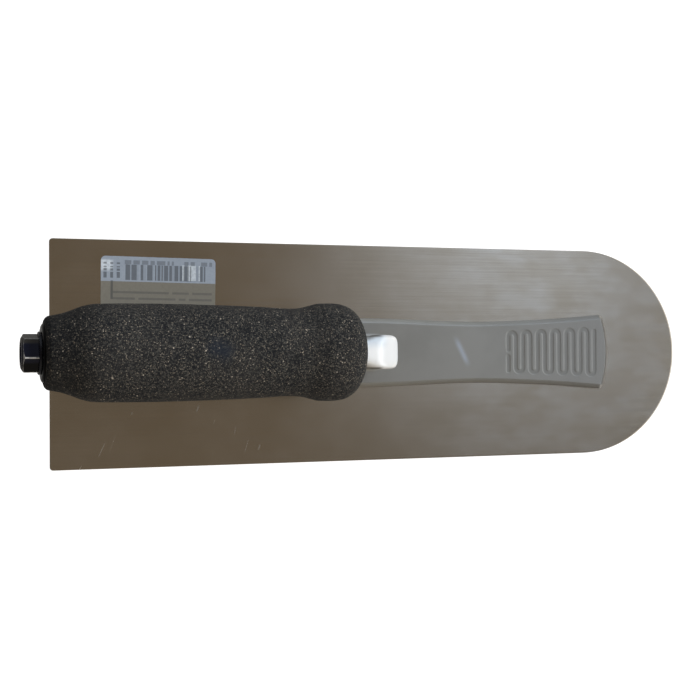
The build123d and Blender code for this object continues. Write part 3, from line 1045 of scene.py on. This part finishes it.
def foot_levels():
    """(inset, height) from the foot's underside, up its side and over the bevel to its flat top."""
    slope = math.atan2(BEVEL_DROP, BEVEL_WIDTH)
    low_round, high_round = 0.5, 0.55
    side_top = FOOT_TOP - BEVEL_DROP - 0.35
    levels = [(0.0, BLADE_HIGH.z), (0.0, side_top)]
    for k in range(1, 4):
        a = (math.pi / 2 - slope) * k / 3
        levels.append((low_round * (1 - math.cos(a)), side_top + low_round * math.sin(a) + 0.06 * k))
    for k in range(4):
        a = slope * (1 - k / 3)
        inset = BEVEL_WIDTH + 0.25 - high_round * math.sin(a)
        levels.append((inset, FOOT_TOP - high_round * (1 - math.cos(a))))
    levels.append((BEVEL_WIDTH + 0.42, FOOT_TOP))
    return levels


def make_mounting():
    """The casting: bevelled foot, serpentine grooves, post, neck and tang in one skin."""
    base = foot_loop()
    count = len(base)
    rings = []
    for inset, z in foot_levels():
        rings.append([(p.x, p.y, z) for p in inset_loop(base, inset)])
    points, faces = stack_rings(rings)
    faces.append(tuple(range(count))[::-1])
    top_loops = [([Vector(p[:2]) for p in rings[-1]], (len(rings) - 1) * count)]

    length = (GROOVE_RUNS - 1) * GROOVE_PITCH
    spots = [
        (Vector((FOOT_HIGH.x - GROOVE_MARGIN - length, 0.0)), 1),
        (Vector((FOOT_LOW.x + GROOVE_MARGIN + length, 0.0)), -1),
    ]
    for origin, sense in spots:
        for line in serpentine_lines():
            placed = [origin + p * sense for p in line]
            starts = []
            for distance, depth in groove_levels():
                loop = ribbon_loop(placed, distance)
                if not starts:
                    top_loops.append((loop, len(points)))
                starts.append(len(points))
                points.extend((p.x, p.y, FOOT_TOP - depth) for p in loop)
            for upper, lower in zip(starts, starts[1:]):
                bridge(faces, upper, lower, len(loop))
            faces.extend(tuple(starts[-1] + k for k in face) for face in fill_between(loop, []))

    post = post_rings(96)
    post_points, post_faces = stack_rings(post, (False, True))
    start = len(points)
    points.extend(post_points)
    faces.extend(tuple(start + k for k in face) for face in post_faces)
    top_loops.append(([Vector(p[:2]) for p in post[0]], start))

    joined = []
    for loop, first in top_loops:
        joined.extend(first + k for k in range(len(loop)))
    flat = fill_between(top_loops[0][0], [loop for loop, _ in top_loops[1:]])
    faces.extend(tuple(joined[k] for k in face) for face in flat)
    return new_piece("mounting_casting", points, faces, sharp_degrees=50)


# (station, radius) along the grip, from its rolled collar to the widest part of its bulb
GRIP_OUTLINE = [
    (-60.1, 14.0), (-56.5, 14.75), (-53.0, 15.95), (-48.8, 17.65), (-44.6, 18.55), (-38.5, 18.8),
    (-20.0, 19.05), (2.0, 18.85), (21.0, 18.4), (30.5, 17.95), (34.5, 18.0), (38.0, 18.4),
    (41.5, 19.3), (45.5, 20.2), (49.5, 20.35),
]


def mouth_ring(s, outer, share, steps):
    """Ring between a circle of radius outer (share 0) and the neck's opening (share 1)."""
    gap = 0.12
    half_width = NECK_WIDTH / 2 + gap
    half_height = NECK_HEIGHT / 2 + gap
    ring = []
    for i in range(steps):
        angle = 2 * math.pi * i / steps
        y, z = math.cos(angle), math.sin(angle)
        mouth = (abs(y / half_width) ** 4 + abs(z / half_height) ** 4) ** -0.25
        r = outer + (mouth - outer) * share
        ring.append((s, r * y, r * z))
    return ring


def swell(points):
    """The slight unevenness of moulded rubber, on all points outside the sleeve's bore."""
    waves = [(0.055, 0.16), (0.035, 0.9), (0.03, 2.6)]
    sunk = 0.06
    skin_radius = CORE_RADIUS + 1.0
    moved = []
    for p in points:
        radius = math.hypot(p[1], p[2])
        if radius > skin_radius:
            rise = sum(height * noise.noise(Vector(p) * pitch) for height, pitch in waves) - sunk
            grow = 1 + rise / radius
            p = (p[0], p[1] * grow, p[2] * grow)
        moved.append(p)
    return moved


def make_grip():
    """Moulded sleeve with a rolled rear collar, slight waist and front bulb."""
    steps = 288
    nose_steps = 48
    collar_face, collar_round = 11.6, 2.4
    nose_power = 2 / 2.9
    mouth_edge, mouth_round = 8.6, 0.35
    bore = CORE_RADIUS + 0.05

    outline = arc_points((GRIP_REAR + collar_round, collar_face), collar_round, 180, 95, 10)
    outline += smooth_curve(GRIP_OUTLINE, 10)
    nose_start, nose_radius = GRIP_OUTLINE[-1]
    for k in range(1, nose_steps + 1):
        a = math.pi / 2 * k / nose_steps
        r = nose_radius * max(0.0, math.cos(a)) ** nose_power
        if r > mouth_edge:
            outline.append((nose_start + (GRIP_FRONT - nose_start) * math.sin(a) ** nose_power, r))

    rings = [circle_ring(GRIP_REAR, bore, steps)]
    rings += [circle_ring(s, r, steps) for s, r in outline]
    last_s, last_r = outline[-1]
    for share in (0.25, 0.5, 0.75, 0.9):
        s = last_s + (GRIP_FRONT - last_s) * min(1.0, share * 1.4)
        rings.append(mouth_ring(s, last_r, share, steps))
    for s in (GRIP_FRONT - mouth_round, CORE_FRONT):
        rings.append(mouth_ring(s, last_r, 1.0, steps))
    rings.append(circle_ring(CORE_FRONT, bore, steps))
    points, faces = stack_rings(rings, loop=True)
    return new_piece("grip_sleeve", swell(points), faces, HANDLE_PLACE, 60)


def turned_piece(name, profile, steps):
    """A piece turned round the handle's axis from a closed profile of (station, radius)."""
    rings = [circle_ring(s, r, steps) for s, r in profile]
    points, faces = stack_rings(rings, loop=True)
    return new_piece(name, points, faces, HANDLE_PLACE, 40)


def make_core():
    """Rigid inner tube with its rounded rear flange."""
    profile = [(GRIP_REAR + 0.02, CORE_HOLE), (FLANGE_REAR + 0.3, CORE_HOLE)]
    profile += [(FLANGE_REAR, CORE_HOLE + 0.3), (FLANGE_REAR, FLANGE_FLAT - 0.9)]
    rim_steps = 8
    for k in range(rim_steps + 1):
        a = math.pi / 2 * k / rim_steps
        r = FLANGE_FLAT + (FLANGE_RADIUS - FLANGE_FLAT) * math.sin(a)
        profile.append((FLANGE_REAR + 0.85 * (1 - math.cos(a)), r))
    profile += [(GRIP_REAR, FLANGE_RADIUS - 0.15), (GRIP_REAR, CORE_RADIUS)]
    profile += [(CORE_FRONT - 0.5, CORE_RADIUS), (CORE_FRONT, CORE_RADIUS - 0.5)]
    profile += [(CORE_FRONT, CORE_SOCKET), (TANG_END, CORE_SOCKET), (TANG_END, CORE_HOLE)]
    return turned_piece("core_tube", profile, 160)


def make_washer():
    """Plain washer with its edges just broken."""
    rear, front = WASHER_REAR, FLANGE_REAR
    edge = 0.18
    corner = 0.3 * edge
    profile = [(rear + edge, WASHER_HOLE), (rear, WASHER_HOLE + edge), (rear, WASHER_RADIUS - edge)]
    profile += [(rear + corner, WASHER_RADIUS - corner), (rear + edge, WASHER_RADIUS)]
    profile += [(front - edge, WASHER_RADIUS), (front, WASHER_RADIUS - edge), (front, WASHER_HOLE)]
    return turned_piece("washer_plain", profile, 128)


def hexagon_reach(angle, apothem, corner_round):
    """Distance from the axis to the side of a hexagon with rounded corners."""
    half_sector = math.radians(30)
    local = abs((angle + half_sector) % (2 * half_sector) - half_sector)
    centre = (apothem - corner_round) / math.cos(half_sector)
    off_corner = half_sector - local
    if off_corner < math.atan2(corner_round / 2, centre + corner_round * math.cos(half_sector)):
        beside = centre * math.sin(off_corner)
        return centre * math.cos(off_corner) + math.sqrt(corner_round ** 2 - beside ** 2)
    return apothem / math.cos(local)


def make_nut():
    """Hexagon nut: chamfered corners, countersunk hole."""
    steps = 720
    angles = [2 * math.pi * i / steps for i in range(steps)]
    rear, front = NUT_REAR, WASHER_REAR
    hole = STUD_RADIUS + 0.02

    def round_ring(s, radius):
        return [(s, radius * math.sin(a), radius * math.cos(a)) for a in angles]

    hexagon = []
    for a in angles:
        reach = hexagon_reach(a + math.radians(30) - NUT_TURN, NUT_APOTHEM, NUT_CORNER)
        drop = max(0.0, reach - NUT_FACE) * CHAMFER_SLOPE
        hexagon.append((rear + drop, reach * math.sin(a), reach * math.cos(a)))

    face = round_ring(rear + 0.02, NUT_FACE)
    rings = [round_ring(rear + 0.55, hole), round_ring(rear + 0.05, hole + 0.5)]
    rings += [round_ring(rear, hole + 0.6), round_ring(rear, NUT_FACE - 0.1), face]
    for share in (0.35, 0.7, 0.985):
        rings.append([tuple(p + (q - p) * share for p, q in zip(a, b)) for a, b in zip(face, hexagon)])
    rings.append([(s + 0.12, y, z) for s, y, z in hexagon])
    rings.append([(front - 0.15, y, z) for _, y, z in hexagon])
    rings.append([(front, y * 0.985, z * 0.985) for _, y, z in hexagon])
    rings += [round_ring(front, hole + 0.4), round_ring(front - 0.4, hole)]
    points, faces = stack_rings(rings, loop=True)
    return new_piece("nut_hexagon", points, faces, HANDLE_PLACE, 28)


def make_stud():
    """Threaded stud: helical thread along its length, chamfered tips."""
    steps = 48
    rings_per_turn = 10
    crest_radius = STUD_RADIUS - 0.03
    thread_depth = 0.62
    tip_length = 0.8
    length = STUD_FRONT - STUD_REAR
    count = int(length / THREAD_PITCH * rings_per_turn)
    rings = []
    for k in range(count + 1):
        s = STUD_REAR + length * k / count
        from_end = min(s - STUD_REAR, STUD_FRONT - s)
        tip_radius = crest_radius - max(0.0, tip_length - from_end)
        ring = []
        for i in range(steps):
            phase = (s / THREAD_PITCH - i / steps) % 1.0
            crest = 1 - abs(2 * phase - 1)
            cut = thread_depth * min(1.0, max(0.0, crest * 1.25 - 0.1))
            radius = min(crest_radius - cut, tip_radius)
            angle = 2 * math.pi * i / steps
            ring.append((s, radius * math.cos(angle), radius * math.sin(angle)))
        rings.append(ring)
    points, faces = stack_rings(rings, (True, True))
    return new_piece("stud_threaded", points, faces, HANDLE_PLACE, 50)


steel = make_blade_steel()
aluminium = make_cast_aluminium()
rubber = make_cork_rubber()
plastic = make_gloss_plastic()
black = make_black_steel()
plain = make_plain_steel()
paper = make_label_paper()

finish_piece(make_blade(), "blade", steel)
finish_piece(make_mounting(), "mounting", aluminium)
finish_piece(make_grip(), "grip", rubber)
finish_piece(make_core(), "handle_core", plastic)
finish_piece(make_washer(), "handle_washer", black)
finish_piece(make_nut(), "handle_nut", make_nut_steel())
finish_piece(make_stud(), "handle_stud", black)
finish_piece(make_label(), "label", paper)
studs = frame["nodes"]["blade_studs"]
studs.data.materials.clear()
studs.data.materials.append(plain)

# =====================================================================================
# floor, light and camera
# =====================================================================================


def make_floor():
    """Plain pale floor just under the tool, grey in what it bounces and white to look at."""
    reach = 3.0
    corners = [(-reach, -reach, 0), (reach, -reach, 0), (reach, reach, 0), (-reach, reach, 0)]
    mesh = bpy.data.meshes.new("floor")
    mesh.from_pydata(corners, [], [(0, 1, 2, 3)])
    floor = bpy.data.objects.new("floor", mesh)
    bpy.context.scene.collection.objects.link(floor)
    floor.location.z = -0.0002
    material, tree, shader = new_material("pale_floor", {"Roughness": 0.9, "Specular IOR Level": 0.1})
    speckle = tree.noise(tree.place(), 60.0, 2.0)
    colour = tree.mix(speckle, (0.30, 0.29, 0.28, 1), (0.33, 0.32, 0.31, 1))
    seen = tree.put("ShaderNodeLightPath").outputs["Is Camera Ray"]
    feed(tree, shader, Base_Color=colour, Emission_Strength=seen)
    shader.inputs["Emission Color"].default_value = (1.0, 1.0, 1.0, 1)
    floor.data.materials.append(material)


def make_world():
    """Studio surround: a window wall ahead, a glowing panel beyond it, dim behind and overhead."""
    world = bpy.data.worlds.new("studio")
    bpy.context.scene.world = world
    world.use_nodes = True
    tree = Tree(world.node_tree)
    ahead, left, up = tree.parts(tree.put("ShaderNodeTexCoord").outputs["Generated"])
    wall = tree.mix(tree.ramp(left, -0.12, 0.14), (0.205, 0.197, 0.187, 1), (0.64, 0.71, 0.81, 1))
    sides = tree.mix(tree.ramp(left, -0.7, 0.7), (0.50, 0.455, 0.39, 1), (0.66, 0.71, 0.78, 1))
    room = tree.mix(tree.ramp(up, 0.6, 0.95), sides, (0.165, 0.137, 0.105, 1))
    room = tree.mix(tree.ramp(ahead, 0.13, 0.36), room, wall)
    room = tree.mix(tree.ramp(ahead, 0.42, 0.52), room, (0.20, 0.205, 0.215, 1))
    panel = tree.product(tree.ramp(ahead, 0.54, 0.62), tree.ramp(ahead, 0.86, 0.78))
    room = tree.mix(panel, room, (1.25, 1.27, 1.29, 1))
    colour = tree.mix(tree.ramp(ahead, -0.25, -0.8), room, (0.085, 0.083, 0.08, 1))
    background = world.node_tree.nodes["Background"]
    tree.tree.links.new(colour, background.inputs["Color"])
    background.inputs["Strength"].default_value = 1.0


def make_sun(name, direction, energy, angle, colour):
    """A broad soft lamp from a direction, which leaves no glint on metal."""
    lamp = bpy.data.lights.new(name, "SUN")
    lamp.energy = energy
    lamp.angle = math.radians(angle)
    lamp.color = colour
    holder = bpy.data.objects.new(name, lamp)
    holder.visible_glossy = False
    holder.rotation_mode = "QUATERNION"
    holder.rotation_quaternion = Vector(direction).to_track_quat("Z", "Y")
    bpy.context.scene.collection.objects.link(holder)


def make_camera():
    """Camera almost straight above the heel end, looking a little towards the toe."""
    data = bpy.data.cameras.new("camera")
    data.lens = 51.43
    data.sensor_width = 36.0
    data.shift_x = -0.0714
    data.clip_start = 0.01
    camera = bpy.data.objects.new("camera", data)
    camera.location = (-0.1207, -0.0029, 0.4617)
    camera.rotation_euler = (math.radians(0.60), math.radians(-15.39), math.radians(-0.38))
    bpy.context.scene.collection.objects.link(camera)
    bpy.context.scene.camera = camera


make_floor()
make_world()
make_sun("key", (0.84, 0.24, 0.48), 2.55, 20, (0.97, 0.99, 1.0))
make_sun("left_fill", (-0.1, 0.9, 0.42), 0.35, 50, (0.86, 0.93, 1.0))
make_sun("right_fill", (-0.1, -0.9, 0.42), 0.78, 50, (1.0, 0.9, 0.76))
make_camera()
bpy.context.scene.view_settings.view_transform = "Standard"
